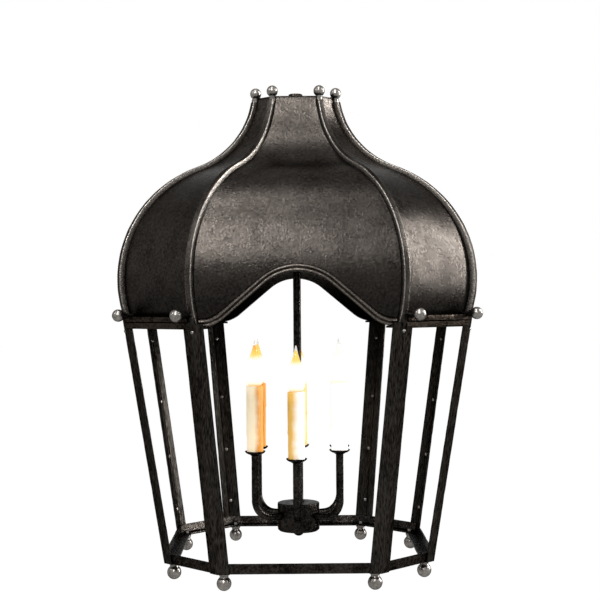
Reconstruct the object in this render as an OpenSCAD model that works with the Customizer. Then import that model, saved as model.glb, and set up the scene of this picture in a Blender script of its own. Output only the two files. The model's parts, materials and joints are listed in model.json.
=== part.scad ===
// Dome lantern: eight-sided iron lantern with an onion dome, an open tapered cage and a six-candle cluster.
// Frame: +Z up, origin under the middle of the lantern at the height of the ball feet's lowest points.
// The front is the wide side that faces -Y.

/* [Plan] */
// Half-width of a wide side as a share of its distance from the axis
wide_share = 0.579; // [0.56:0.001:0.60]

/* [Dome] */
// Distance of a wide side's sheet from the axis at the fullest height of the dome
belly_half = 250; // [244:1:256]
// Height of the fullest part of the dome
belly_z = 437; // [430:1:445]
// Radius of the bulge in a wide side's profile
bulge_r = 177; // [172:1:182]
// Angle through which the bulge rises before the flare takes over
bulge_sweep = 66.4; // [64:0.1:68]
// Radius of the hollow flare under the neck
flare_r = 142; // [136:1:148]
// Height of the open neck's top edge
neck_z = 710; // [700:1:720]
// Thickness of the dome's sheet
sheet_t = 1.6; // [1.2:0.1:3]

/* [Ribs] */
// Width of the square bar along each corner of the dome
rib_w = 9.5; // [8:0.5:11]
// Height of a rib above the sheet
rib_proud = 5.5; // [4:0.5:7]
// Depth of a rib below the outer face of the sheet
rib_sunk = 4; // [3:0.5:5]
// Height of the ribs' top ends
rib_top_z = 706.5; // [700:0.5:708]

/* [Arched openings] */
// Height of the moulding's upper edge where it runs level into a corner
arch_foot_z = 381; // [378:1:384]
// Half-width at which the level stretch ends
arch_foot_half = 134; // [130:1:136]
// Radius of the hollow curve at the foot of the arch
arch_foot_r = 45; // [38:1:52]
// Radius of the round top of the arch
arch_top_r = 80; // [65:1:95]
// Slope of the straight stretch between the two curves
arch_slope = 39.8; // [36:0.2:42]
// Width of the moulding
moulding_w = 10.4; // [9:0.2:12]
// Height of the moulding's flat above the sheet
moulding_proud = 3.4; // [2.5:0.1:4]
// Extra height of the two reeds on the moulding
reed_rise = 1.8; // [1:0.1:2.5]

/* [Cage] */
// Distance of a wide side's posts from the axis at the top of the cage
cage_top_half = 248.8; // [246:0.1:251]
// Distance of a wide side's posts from the axis at the bottom of the cage
cage_foot_half = 196.6; // [194:0.1:199]
// Height of the bottom ring's underside
ring_z = 25; // [22:1:28]
// Height of the bottom ring
ring_h = 15; // [12:1:18]
// Inward depth of the ring's level leg
ring_leg = 17; // [15:1:20]
// Thickness of the ring's and the posts' legs
angle_t = 3; // [2:0.5:4]
// Length of each leg of a post
post_leg = 16.7; // [14:0.1:18]
// Height of the posts' tops on the wide sides, in front of the mouldings' feet
post_high_z = 375; // [372:0.5:378]
// Height of the underside of the bars across the narrow sides
waist_bar_z = 367; // [364:1:370]
// Height of the top of those bars
waist_top_z = 384; // [382:1:386]
// Height of the ledge moulding on top of each bar
ledge_h = 7.5; // [3:0.5:9]
// How far that ledge stands proud of the bar
ledge_proud = 2.5; // [1:0.5:4]

/* [Balls] */
// Diameter of the ball feet
foot_ball_d = 21; // [18:1:24]
// Distance of the feet from the axis
foot_reach = 211; // [208:0.5:212]
// Diameter of the balls on the waist
waist_ball_d = 18; // [15:1:20]
// Height of the waist balls
waist_ball_z = 386; // [385:0.5:388]
// Distance of the waist balls from the axis, square to the narrow side
waist_ball_out = 295; // [290:1:300]
// Diameter of the balls around the neck
neck_ball_d = 17; // [13:1:18]
// Height of the middle of the neck balls
neck_ball_z = 719.5; // [717:0.5:722]
// Distance of the neck balls from the axis
neck_ball_reach = 70; // [69:0.5:71]

/* [Candle cluster] */
// Distance of the candles from the axis
candle_reach = 74; // [72:1:80]
// Turn of the whole cluster on its rod
cluster_turn = -2; // [-30:1:30]
// Height of the cups in which the candle sleeves stand
cup_z = 175; // [160:1:185]
// How far each hand-bent arm carries its cup above that height, front first and then anticlockwise
cup_rise = [-6, 3, 1, -2, 0, 1];
// Outer diameter of the arm tubes
arm_d = 11.5; // [11:0.5:13]
// Radius of the bend in each arm
arm_bend_r = 28; // [18:1:32]
// Height of the arms' level stretch
arm_z = 75; // [72:1:78]
// Diameter of the hub
hub_d = 65; // [58:1:70]
// Height of the hub's underside
hub_z = 51; // [48:1:54]
// Height of the hub with its lid
hub_h = 43; // [38:1:48]
// Diameter of a candle sleeve
sleeve_d = 25; // [23:0.5:27]
// Height of a candle sleeve
sleeve_h = 101; // [98:1:105]
// Diameter of the centre rod
rod_d = 12; // [11:0.5:12.5]

/* [Hanger] */
// Width across the flats of the hanger nut
hanger_nut_af = 19; // [17:1:22]
// Height of the top of the hanger nut
hanger_top_z = 724.5; // [722:0.5:730]
// Diameter of the female thread in the hanger nut
hanger_thread_d = 9.8; // [9:0.1:10.5]

/* [Hidden] */
$fn = 96;
reach = 800;
side_names = ["front", "right", "back", "left"];
corner_names = ["front_right", "back_right", "back_left", "front_left"];

// Plan angles: the corner beside a wide side, and half the angle that a narrow side spans
corner_az = atan(wide_share);
narrow_half_az = 45 - corner_az;
// Distances on a narrow side and on a corner, as multiples of those on a wide side
narrow_factor = (1 + wide_share) / sqrt(2);
corner_factor = 1 / cos(corner_az);

// Centres of the two arcs of the dome's profile, which meet in a common tangent
arc_line = [cos(bulge_sweep), sin(bulge_sweep)];
bulge_c = [belly_half - bulge_r, belly_z];
flare_c = bulge_c + (bulge_r + flare_r) * arc_line;
bulge_start = -26;
bulge_steps = 20;
flare_end = 4;
flare_steps = 12;
neck_half = flare_c.x - sqrt(pow(flare_r, 2) - pow(flare_c.y - neck_z, 2));

// Top of the arch, from the lengths of its curves and of the straight stretch
arch_rise = 1 - cos(arch_slope);
arch_top_z = arch_foot_z + (arch_foot_r + arch_top_r) * arch_rise
    + tan(arch_slope) * (arch_foot_half - (arch_foot_r + arch_top_r) * sin(arch_slope));
post_top_z = arch_foot_z - moulding_w;

cage_slope = (cage_top_half - cage_foot_half) / (post_top_z - ring_z);
function cage_half(z) = cage_foot_half + cage_slope * (z - ring_z);
corner_lean = atan(corner_factor * cage_slope);

post_edge = 1;
rivet_seat = 5.4;
rivet_seat_w = 7.5;
rivet_sink = 1.7;
rivet_rise = 0.6;
dome_seat_t = 3;
dome_seat_depth = 24;
bar_cover = 20;
rivet_zs = [65, 151, 240, 340];
outer_rivet_z = 363;
rivet_d = 3.2;
rivet_head_d = 5.6;
rivet_head_h = 1.2;
outer_head_d = 5;
tab_z = 169;
ball_neck_d = 9;
foot_stud_d = 5;
foot_nut_af = 8;
cap_t = 2.5;
washer_d = 32;
washer_t = 1.5;
rod_bore_d = 7;
rod_low_z = 46;
rod_top_z = 718;
hub_wall = 2.5;
hub_lid_t = 3;
arm_bore_d = 8.7;
arm_inner = hub_d / 2 - 8;
cup_stem = 5;
nipple_sink = 12;
socket_low = 13;
socket_top = 90;
socket_d = 16;
bulb_base_d = 11.6;
bulb_base_h = 20;
bulb_wall = 1.1;
wire_r = 1.5;
wire_trunk_r = 2.4;
wire_hole_d = 5;
ball_stud_d = 4;
ball_stud_h = 8;
waist_stud_d = 5;
waist_stud_inset = 8.5;
waist_collar_d = 10.5;
waist_collar_h = 6.5;
waist_collar_in = 3.4;
foot_collar_d = 15;
lock_nut_af = 17;
lock_nut_h = 6;

iron = "#2c2826";
sheet_iron = "#35302d";
burnished = "#5a534d";
wax = "#e9d3a2";
lit_glass = "#fff3d6";

// Dome profile in the plane of a side, at a height above the sheet's outer face: the bulge's arc, then the flare's
function bulge_arc(proud) = [for (i = [0:bulge_steps])
    let (a = bulge_start + (bulge_sweep - bulge_start) * i / bulge_steps)
        bulge_c + (bulge_r + proud) * [cos(a), sin(a)]];
function flare_arc(proud) = [for (i = [1:flare_steps])
    let (a = bulge_sweep + (flare_end - bulge_sweep) * i / flare_steps)
        flare_c - (flare_r - proud) * [cos(a), sin(a)]];
function profile(proud) = concat(bulge_arc(proud), flare_arc(proud));
function reversed(list) = [for (i = [len(list) - 1:-1:0]) list[i]];

// A band around that profile drawn out along the side, with its outward distances multiplied by factor
module dome_shell(factor, width, proud, depth, low, high) {
    rotate([90, 0, 0])
        linear_extrude(width, center = true)
            intersection() {
                polygon([for (p = concat(profile(proud), reversed(profile(-depth)))) [factor * p.x, p.y]]);
                translate([0, low]) square([reach, high - low]);
            }
}

// Everything between the two ribs of a side that spans half_az to each hand
module side_wedge(half_az, gap) {
    apex = gap / sin(half_az);
    far = reach * tan(half_az);
    translate([apex, 0, 0])
        linear_extrude(reach)
            polygon([[0, 0], [reach, -far], [reach, far]]);
}

// Lower side of the arch curve, moved down square to itself by down
function arch_half(down) = concat(
    [for (a = [arch_slope:-arch_slope / 8:0.01])
        [(arch_top_r - down) * sin(a), arch_top_z - arch_top_r + (arch_top_r - down) * cos(a)]],
    [[0, arch_top_z - down]]);
function arch_foot(down) = [for (a = [0:arch_slope / 5:arch_slope + 0.01])
    [arch_foot_half - (arch_foot_r + down) * sin(a), arch_foot_z + arch_foot_r - (arch_foot_r + down) * cos(a)]];
module arch_area(down) {
    right = concat([[reach / 4, arch_foot_z - down]], arch_foot(down), arch_half(down));
    left = [for (i = [len(right) - 2:-1:0]) [-right[i].x, right[i].y]];
    polygon(concat(right, left, [[-reach / 4, ring_z], [reach / 4, ring_z]]));
}
module arch_prism(from, to) {
    rotate([90, 0, 90])
        linear_extrude(reach / 2)
            difference() {
                arch_area(from);
                if (to > from) arch_area(to);
            }
}

module on_side(i) rotate([0, 0, 90 * i - 90]) children();
module on_corner_side(i) rotate([0, 0, 90 * i - 45]) children();
// Frame of a corner: X points outward through it and Y points along its narrow side
module at_corner(k) {
    rotate([0, 0, 90 * floor(k / 2)])
        mirror([k % 2, 0, 0])
            rotate([0, 0, corner_az - 90])
                children();
}

module dome_panel() {
    color(sheet_iron)
        difference() {
            intersection() {
                dome_shell(1, reach / 2, 0, sheet_t, post_top_z, neck_z);
                side_wedge(corner_az, rib_w / 2);
            }
            arch_prism(moulding_w, 0);
        }
}

module corner_panel() {
    stud_y = waist_stud_y();
    color(sheet_iron)
        difference() {
            intersection() {
                dome_shell(narrow_factor, reach / 2, 0, sheet_t, post_top_z, neck_z);
                side_wedge(narrow_half_az, rib_w / 2);
            }
            for (hand = [-1, 1]) waist_stud_bore(hand * stud_y);
        }
}

module rib() {
    color(iron)
        difference() {
            dome_shell(corner_factor, rib_w, rib_proud, rib_sunk, post_top_z, rib_top_z);
            translate([neck_ball_reach, 0, rib_top_z - ball_stud_h]) cylinder(d = ball_stud_d, h = reach);
        }
}

module arch_moulding() {
    reed_w = moulding_w / 3;
    gap = moulding_w / 9;
    color(iron)
        intersection() {
            side_wedge(corner_az, rib_w / 2);
            union() {
                intersection() {
                    dome_shell(1, reach / 2, moulding_proud, 0, post_top_z, neck_z);
                    arch_prism(0, moulding_w);
                }
                for (down = [gap, moulding_w - gap - reed_w])
                    intersection() {
                        dome_shell(1, reach / 2, moulding_proud + reed_rise, 0, post_top_z, neck_z);
                        arch_prism(down, down + reed_w);
                    }
            }
        }
}

// Inner side of the sloping plane of a cage side that faces azimuth az, moved inward level by inset
module cage_inside(az, factor, inset) {
    rotate([0, 0, az])
        translate([factor * cage_foot_half - inset, 0, ring_z])
            rotate([0, atan(factor * cage_slope), 0])
                translate([-reach, -reach / 2, -reach / 2])
                    cube(reach);
}
// Where the stud of a waist ball stands: distance to the hand from the middle of its narrow side
function waist_stud_y() = waist_stud_out() * tan(narrow_half_az) - waist_stud_inset;
function waist_stud_out() = narrow_factor
    * (bulge_c.x + sqrt(pow(bulge_r, 2) - pow(waist_ball_z - bulge_c.y, 2)));
module waist_stud_bore(y) {
    translate([reach / 4, y, waist_ball_z])
        rotate([0, 90, 0])
            cylinder(d = waist_stud_d, h = reach / 4);
}

module waist_bar() {
    stud_y = waist_stud_y();
    color(iron)
        difference() {
            intersection() {
                side_wedge(narrow_half_az, rib_w / 2);
                dome_shell(narrow_factor, reach / 2, bar_cover, 0, waist_bar_z, waist_top_z);
                union() {
                    intersection() {
                        cage_inside(0, narrow_factor, 0);
                        translate([reach / 4, -reach / 4, waist_bar_z])
                            cube([reach / 2, reach / 2, waist_top_z - waist_bar_z]);
                    }
                    intersection() {
                        cage_inside(0, narrow_factor, -ledge_proud);
                        translate([reach / 4, -reach / 4, waist_top_z - ledge_h])
                            cube([reach / 2, reach / 2, ledge_h]);
                    }
                }
            }
            for (hand = [-1, 1]) waist_stud_bore(hand * stud_y);
        }
}

// Places what stands square to the leaning corner line of a post, with its own +Z outward
module square_to_corner(z) {
    translate([corner_factor * cage_half(z), 0, z])
        rotate([0, 90 + corner_lean, 0])
            children();
}
module rivet_shanks(inner, outer) {
    for (z = concat(rivet_zs, [outer_rivet_z]))
        square_to_corner(z)
            translate([0, 0, -inner])
                cylinder(d = rivet_d, h = inner + outer);
}

// A bar that leans with the corner of the cage: level cross-section measured from the corner, and end heights
module leaning_bar(section, low, high) {
    bar_over = 8;
    intersection() {
        translate([corner_factor * cage_half(low), 0, low])
            rotate([0, corner_lean, 0])
                translate([0, 0, -bar_over])
                    linear_extrude((high - low) / cos(corner_lean) + 2 * bar_over)
                        polygon([for (p = section) [p.x * cos(corner_lean), p.y]]);
        translate([0, -reach / 2, low]) cube([reach, reach, high - low]);
    }
}

// One post: an angle with a blunt corner, a seat for the rivets inside, a plate on top that carries the dome
// and a head that covers the lower end of the rib
module post() {
    wide_tan = tan(corner_az);
    narrow_tan = tan(narrow_half_az);
    wide_y = post_leg * cos(corner_az);
    narrow_y = post_leg * cos(narrow_half_az);
    inner = angle_t / cos(22.5);
    inner_az = corner_az - 22.5;
    half_seat = rivet_seat_w / 2;
    half_rib = rib_w / 2;
    edge = [
        [-wide_tan * post_edge, -post_edge],
        [-narrow_tan * post_edge, post_edge]];
    section = concat(edge, [
        [-narrow_tan * narrow_y, narrow_y],
        [-narrow_tan * narrow_y - angle_t * cos(narrow_half_az), narrow_y - angle_t * sin(narrow_half_az)],
        [-inner * cos(inner_az), inner * sin(inner_az)],
        [-wide_tan * wide_y - angle_t * cos(corner_az), angle_t * sin(corner_az) - wide_y],
        [-wide_tan * wide_y, -wide_y]]);
    seat = [
        [-rivet_seat, -half_seat],
        [-wide_tan * half_seat - 0.5, -half_seat],
        [-wide_tan * half_seat - 0.5, half_seat],
        [-rivet_seat, half_seat]];
    plate = concat(edge, [
        [-narrow_tan * half_rib, half_rib],
        [-dome_seat_depth, half_rib],
        [-dome_seat_depth, -wide_y],
        [-wide_tan * wide_y, -wide_y]]);
    head = concat(edge, [
        [-narrow_tan * half_rib, half_rib],
        [-dome_seat_depth, half_rib],
        [-dome_seat_depth, -half_rib],
        [-wide_tan * half_rib, -half_rib]]);
    color(iron)
        difference() {
            union() {
                leaning_bar(section, ring_z, post_high_z);
                leaning_bar(seat, ring_z + ring_h, post_top_z);
                leaning_bar(plate, post_top_z - dome_seat_t, post_top_z);
                difference() {
                    leaning_bar(head, post_top_z - 1, waist_top_z);
                    dome_shell(corner_factor, reach, rib_proud, bulge_r / 2, post_top_z, reach);
                }
            }
            translate([0, half_rib, waist_bar_z]) cube(reach);
            rivet_shanks(rivet_seat + 1, 1);
            square_to_corner(outer_rivet_z)
                translate([0, 0, -rivet_sink])
                    cylinder(d = outer_head_d, h = 2 * rivet_sink);
        }
}

module post_rivets() {
    seat = rivet_seat * cos(corner_lean);
    color(burnished)
        for (k = [0:7])
            at_corner(k) {
                rivet_shanks(seat, -rivet_sink);
                for (z = rivet_zs)
                    square_to_corner(z)
                        translate([0, 0, -seat - rivet_head_h])
                            cylinder(d = rivet_head_d, h = rivet_head_h);
                square_to_corner(outer_rivet_z)
                    translate([0, 0, -rivet_sink])
                        cylinder(d = outer_head_d, h = rivet_sink + rivet_rise);
            }
}

// Small spring tabs on the wide legs of the two posts at the back
module retaining_tabs() {
    tab_h = 10;
    color(iron)
        for (k = [4, 5])
            at_corner(k)
                rotate([0, 0, -corner_az])
                    translate([cage_half(tab_z) - angle_t, cage_half(tab_z) * wide_share, tab_z])
                        rotate([0, atan(cage_slope), 0])
                            translate([-1.5, -post_leg, -tab_h / 2])
                                cube([1.5, post_leg / 2, tab_h]);
}

module ring_inside(inset) {
    intersection() {
        intersection_for(i = [0:3]) cage_inside(90 * i, 1, inset);
        intersection_for(i = [0:3]) cage_inside(90 * i + 45, narrow_factor, inset);
    }
}
module bottom_ring() {
    color(iron)
        difference() {
            intersection() {
                ring_inside(angle_t);
                translate([-reach / 2, -reach / 2, ring_z]) cube([reach, reach, ring_h]);
            }
            ring_inside(angle_t + ring_leg);
            intersection() {
                ring_inside(2 * angle_t);
                translate([-reach / 2, -reach / 2, ring_z + angle_t]) cube([reach, reach, ring_h]);
            }
            for (k = [0:7])
                at_corner(k)
                    translate([foot_reach, 0, ring_z - 1])
                        cylinder(d = foot_stud_d, h = angle_t + 2);
        }
}

module neck_balls() {
    color(burnished)
        for (k = [0:7])
            at_corner(k)
                translate([neck_ball_reach, 0, 0]) {
                    translate([0, 0, neck_ball_z]) sphere(d = neck_ball_d);
                    translate([0, 0, rib_top_z]) cylinder(d = ball_neck_d, h = neck_ball_z - rib_top_z);
                    translate([0, 0, rib_top_z - ball_stud_h]) cylinder(d = ball_stud_d, h = ball_stud_h + 2);
                }
}

module waist_balls() {
    stud_y = waist_stud_y();
    sheet_in = waist_stud_out() - 3;
    color(burnished)
        for (i = [0:3])
            on_corner_side(i)
                for (hand = [-1, 1])
                    translate([0, hand * stud_y, waist_ball_z]) {
                        translate([waist_ball_out, 0, 0]) sphere(d = waist_ball_d);
                        rotate([0, 90, 0])
                            translate([0, 0, sheet_in])
                                cylinder(d = waist_stud_d, h = waist_ball_out - sheet_in);
                        rotate([0, 90, 0])
                            translate([0, 0, waist_ball_out - waist_ball_d / 2 - waist_collar_in])
                                cylinder(d = waist_collar_d, h = waist_collar_h);
                    }
}

module ball_feet() {
    color(burnished)
        for (k = [0:7])
            at_corner(k)
                translate([foot_reach, 0, 0]) {
                    translate([0, 0, foot_ball_d / 2]) sphere(d = foot_ball_d);
                    translate([0, 0, foot_ball_d / 2]) cylinder(d = foot_collar_d, h = ring_z - foot_ball_d / 2);
                    translate([0, 0, ring_z - 2]) cylinder(d = foot_stud_d, h = angle_t + 8);
                }
}

module foot_nuts() {
    color(burnished)
        for (k = [0:7])
            at_corner(k)
                translate([foot_reach, 0, ring_z + angle_t])
                    difference() {
                        cylinder(d = foot_nut_af / cos(30), h = 4, $fn = 6);
                        translate([0, 0, -1]) cylinder(d = foot_stud_d, h = 6);
                    }
}

module cap_plate() {
    corner_x = neck_half * wide_share;
    quarter = [[neck_half, -corner_x], [neck_half, corner_x]];
    color(iron)
        difference() {
            translate([0, 0, neck_z])
                linear_extrude(cap_t)
                    polygon([for (i = [0:3]) for (p = quarter)
                        [p.x * cos(90 * i) - p.y * sin(90 * i), p.x * sin(90 * i) + p.y * cos(90 * i)]]);
            translate([0, 0, neck_z - 1]) cylinder(d = rod_d, h = cap_t + 2);
            for (k = [0:7])
                at_corner(k)
                    translate([neck_ball_reach, 0, neck_z - 1])
                        cylinder(d = ball_neck_d, h = cap_t + 2);
        }
}

module cap_washer() {
    color(iron)
        translate([0, 0, neck_z + cap_t])
            difference() {
                cylinder(d = washer_d, h = washer_t);
                translate([0, 0, -1]) cylinder(d = rod_d, h = washer_t + 2);
            }
}

module hanger_nut() {
    low = neck_z + cap_t + washer_t;
    color(iron)
        difference() {
            translate([0, 0, low]) cylinder(d = hanger_nut_af / cos(30), h = hanger_top_z - low, $fn = 6);
            translate([0, 0, low - 1]) cylinder(d = rod_d, h = rod_top_z - low + 1);
            translate([0, 0, low]) cylinder(d = hanger_thread_d, h = hanger_top_z);
        }
}

module lock_nut() {
    color(iron)
        translate([0, 0, neck_z - lock_nut_h])
            difference() {
                cylinder(d = lock_nut_af / cos(30), h = lock_nut_h, $fn = 6);
                translate([0, 0, -1]) cylinder(d = rod_d, h = lock_nut_h + 2);
            }
}

module centre_rod() {
    color(iron)
        difference() {
            translate([0, 0, rod_low_z]) cylinder(d = rod_d, h = rod_top_z - rod_low_z);
            translate([0, 0, arm_z - 12]) cylinder(d = rod_bore_d, h = rod_top_z);
            for (i = [0:2])
                on_arm(i)
                    translate([0, 0, arm_z])
                        rotate([0, 90, 0])
                            cylinder(d = wire_hole_d, h = rod_d + 2, center = true);
        }
}

module hub_body() {
    cavity_r = hub_d / 2 - hub_wall;
    color(iron)
        difference() {
            translate([0, 0, hub_z])
                rotate_extrude()
                    polygon([
                        [rod_d / 2, 0],
                        [hub_d / 2 - 2.5, 0],
                        [hub_d / 2, 2.5],
                        [hub_d / 2, hub_h - hub_lid_t],
                        [cavity_r, hub_h - hub_lid_t],
                        [cavity_r, 3],
                        [rod_d / 2, 3]]);
            for (i = [0:5])
                on_arm(i)
                    translate([arm_inner, 0, arm_z])
                        rotate([0, 90, 0])
                            cylinder(d = arm_d, h = hub_d);
        }
}

module hub_lid() {
    color(iron)
        translate([0, 0, hub_z + hub_h - hub_lid_t])
            rotate_extrude()
                polygon([
                    [rod_d / 2, 0],
                    [hub_d / 2, 0],
                    [hub_d / 2, hub_lid_t - 1],
                    [hub_d / 2 - 1, hub_lid_t],
                    [rod_d / 2, hub_lid_t]]);
}

module hub_finial() {
    tip_z = 42;
    color(iron)
        rotate_extrude()
            polygon([
                [0, tip_z],
                [2.6, tip_z + 0.4],
                [5, tip_z + 1.5],
                [7.2, tip_z + 3.2],
                [8.4, tip_z + 5.6],
                [8.4, hub_z],
                [rod_d / 2, hub_z],
                [rod_d / 2, rod_low_z],
                [0, rod_low_z]]);
}

module arm_nuts() {
    nut_r = 8.5;
    outer = sqrt(pow(hub_d / 2 - hub_wall, 2) - pow(nut_r * cos(30), 2));
    color(burnished)
        for (i = [0:5])
            on_arm(i)
                translate([arm_inner, 0, arm_z])
                    rotate([0, 90, 0])
                        difference() {
                            cylinder(r = nut_r, h = outer - arm_inner, $fn = 6);
                            translate([0, 0, -1]) cylinder(d = arm_d, h = 12);
                        }
}

// Path of an arm as a round bar of diameter d, from the hub out to the bend and up to height top
module arm_path(d, inner, top) {
    translate([inner, 0, arm_z])
        rotate([0, 90, 0])
            cylinder(d = d, h = candle_reach - arm_bend_r - inner);
    translate([candle_reach - arm_bend_r, 0, arm_z + arm_bend_r])
        rotate([90, 0, 0])
            rotate([0, 0, -90])
                rotate_extrude(angle = 90)
                    translate([arm_bend_r, 0])
                        circle(d = d);
    translate([candle_reach, 0, arm_z + arm_bend_r])
        cylinder(d = d, h = top - arm_z - arm_bend_r);
}
function seat_z(i) = cup_z + cup_rise[i];
module on_arm(i) rotate([0, 0, 60 * i - 90 + cluster_turn]) children();

module arm(i) {
    top = seat_z(i) - cup_stem;
    color(iron)
        difference() {
            arm_path(arm_d, arm_inner, top);
            arm_path(arm_bore_d, arm_inner - 1, top + 1);
        }
}

module wiring() {
    color("#7a3b22") {
        translate([0, 0, arm_z - 10]) cylinder(r = wire_trunk_r, h = rod_top_z - 6 - arm_z);
        for (i = [0:5])
            on_arm(i)
                arm_path(2 * wire_r, 1, seat_z(i) + socket_low);
    }
}

module drip_cups() {
    color(iron)
        for (i = [0:5])
            on_arm(i)
                translate([candle_reach, 0, seat_z(i)])
                    rotate_extrude()
                        polygon([
                            [arm_bore_d / 2, -cup_stem],
                            [7.2, -cup_stem],
                            [8.4, -3.6],
                            [11.4, -2.6],
                            [14.2, -1],
                            [16, 1.4],
                            [15.4, 2],
                            [13.7, 0.6],
                            [12.7, 0],
                            [arm_bore_d / 2, 0]]);
}

module socket_nipples() {
    color("#b08d4f")
        for (i = [0:5])
            on_arm(i)
                translate([candle_reach, 0, seat_z(i) - cup_stem - nipple_sink])
                    difference() {
                        cylinder(d = arm_bore_d, h = cup_stem + nipple_sink + socket_low);
                        translate([0, 0, -1]) cylinder(d = wire_hole_d, h = sleeve_h);
                    }
}

module lamp_sockets() {
    color("#1d1c1b")
        for (i = [0:5])
            on_arm(i)
                translate([candle_reach, 0, seat_z(i)])
                    difference() {
                        translate([0, 0, socket_low]) cylinder(d = socket_d, h = socket_top - socket_low);
                        translate([0, 0, socket_top - bulb_base_h]) cylinder(d = bulb_base_d, h = 40);
                    }
}

module candle_sleeves() {
    drip_angles = [20, 75, 140, 205, 262, 318];
    color(wax)
        for (i = [0:5])
            on_arm(i)
                translate([candle_reach, 0, seat_z(i)])
                    difference() {
                        union() {
                            cylinder(d = sleeve_d, h = sleeve_h);
                            for (j = [0:5]) {
                                length = 22 + 13 * ((i + 2 * j) % 5);
                                rotate([0, 0, drip_angles[j] + 37 * i])
                                    translate([sleeve_d / 2 - 0.9, 0, sleeve_h - 1.5 - length]) {
                                        sphere(r = 1.9, $fn = 24);
                                        cylinder(r = 1.9, h = length, $fn = 24);
                                    }
                            }
                        }
                        translate([0, 0, -1]) cylinder(d = sleeve_d - 5, h = sleeve_h + 2);
                    }
}

// Half-outline of the glass above the sleeve's rim: radius and height
bulb_outline = [
    [bulb_base_d / 2, -8],
    [7.6, -5],
    [9.2, -1],
    [11.4, 3.5],
    [13.2, 9],
    [14.1, 15],
    [14.2, 21],
    [13.3, 28],
    [11.4, 34.5],
    [8.8, 41],
    [6.3, 47],
    [4.3, 53],
    [2.8, 59],
    [1.6, 65]];
module flame_bulbs() {
    inside = [for (p = bulb_outline) [p.x - bulb_wall, p.y]];
    base_z = socket_top - bulb_base_h - sleeve_h;
    color(lit_glass)
        for (i = [0:5])
            on_arm(i)
                translate([candle_reach, 0, seat_z(i) + sleeve_h])
                    rotate_extrude()
                        polygon(concat(
                            [[0, base_z], [bulb_base_d / 2, base_z]],
                            bulb_outline,
                            [[0.7, 68.5], [0, 69], [0, 64]],
                            reversed(inside),
                            [[inside[0].x, base_z + bulb_wall], [0, base_z + bulb_wall]]));
}

for (i = [0:3]) on_side(i) dome_panel();
for (i = [0:3]) on_corner_side(i) corner_panel();
for (k = [0:7]) at_corner(k) rib();
for (i = [0:3]) on_side(i) arch_moulding();
for (i = [0:3]) on_corner_side(i) waist_bar();
for (k = [0:7]) at_corner(k) post();
bottom_ring();
post_rivets();
retaining_tabs();
neck_balls();
waist_balls();
ball_feet();
foot_nuts();
cap_plate();
cap_washer();
hanger_nut();
lock_nut();
centre_rod();
hub_body();
hub_lid();
hub_finial();
arm_nuts();
wiring();
for (i = [0:5]) on_arm(i) arm(i);
drip_cups();
socket_nipples();
lamp_sockets();
candle_sleeves();
flame_bulbs();
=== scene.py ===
import json
from math import asin, atan, copysign, cos, exp, hypot, pi, radians, sin, sqrt, tan

import bmesh
import bpy
import numpy as np
from mathutils import Matrix, Vector, noise


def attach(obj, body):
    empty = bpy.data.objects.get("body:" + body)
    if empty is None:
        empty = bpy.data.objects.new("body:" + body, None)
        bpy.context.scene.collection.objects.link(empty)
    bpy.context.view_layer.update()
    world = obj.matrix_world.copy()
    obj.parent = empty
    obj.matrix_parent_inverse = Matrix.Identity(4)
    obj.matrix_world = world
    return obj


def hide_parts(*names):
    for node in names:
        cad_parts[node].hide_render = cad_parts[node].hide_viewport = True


# An eight-sided iron lantern with an onion dome, dressed around its CAD model: every visible CAD node is replaced
# by a piece with the waver, dents and drips of hand work, or keeps its shape and gets a finish.

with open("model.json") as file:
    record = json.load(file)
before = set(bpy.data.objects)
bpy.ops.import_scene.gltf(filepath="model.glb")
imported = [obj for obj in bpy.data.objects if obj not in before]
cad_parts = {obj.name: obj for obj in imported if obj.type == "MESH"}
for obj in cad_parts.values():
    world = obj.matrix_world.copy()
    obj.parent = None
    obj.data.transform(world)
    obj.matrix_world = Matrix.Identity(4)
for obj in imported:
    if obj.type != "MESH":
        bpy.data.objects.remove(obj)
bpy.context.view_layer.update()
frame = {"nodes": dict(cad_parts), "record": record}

# Lengths are in millimetres, as on the drawing of the lantern, and MM turns them into metres. Names in _D are
# diameters, in _R radii, in _T thicknesses, in _W widths, in _H heights and in _Z heights above the floor.
MM = 0.001
WIDE_SHARE = 0.579
BELLY_HALF, BELLY_Z = 250.0, 437.0
BULGE_R, BULGE_SWEEP, BULGE_START = 177.0, radians(66.4), radians(-26)
FLARE_R = 142.0
NECK_Z = 710.0
SHEET_T = 1.6
RIB_W, RIB_PROUD, RIB_SUNK, RIB_TOP_Z = 9.5, 5.5, 4.0, 706.5
ARCH_FOOT_Z, ARCH_FOOT_HALF, ARCH_FOOT_R, ARCH_TOP_R = 381.0, 134.0, 45.0, 80.0
ARCH_SLOPE = radians(39.8)
MOULDING_W = 10.4
POST_TOP_Z = ARCH_FOOT_Z - MOULDING_W
CAGE_TOP_HALF, CAGE_FOOT_HALF = 248.8, 196.6
RING_Z, RING_H, RING_LEG = 25.0, 15.0, 17.0
ANGLE_T, POST_LEG, POST_HIGH_Z, POST_EDGE = 3.0, 16.7, 375.0, 1.0
RIVET_SEAT, RIVET_SEAT_W = 5.4, 7.5
DOME_SEAT_T, DOME_SEAT_DEPTH = 3.0, 24.0
RIVET_ZS, OUTER_RIVET_Z = (65, 151, 240, 340), 363.0
WAIST_BAR_Z, WAIST_TOP_Z, LEDGE_H, LEDGE_PROUD = 367.0, 384.0, 7.5, 2.5
FOOT_BALL_D, FOOT_REACH, FOOT_COLLAR_D = 21.0, 211.0, 15.0
WAIST_BALL_D, WAIST_BALL_Z, WAIST_BALL_OUT = 18.0, 386.0, 295.0
WAIST_STUD_INSET, WAIST_STUD_D, WAIST_STUD_DEPTH = 8.5, 5.0, 3.0
WAIST_COLLAR_D, WAIST_COLLAR_IN = 10.5, 3.4
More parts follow.
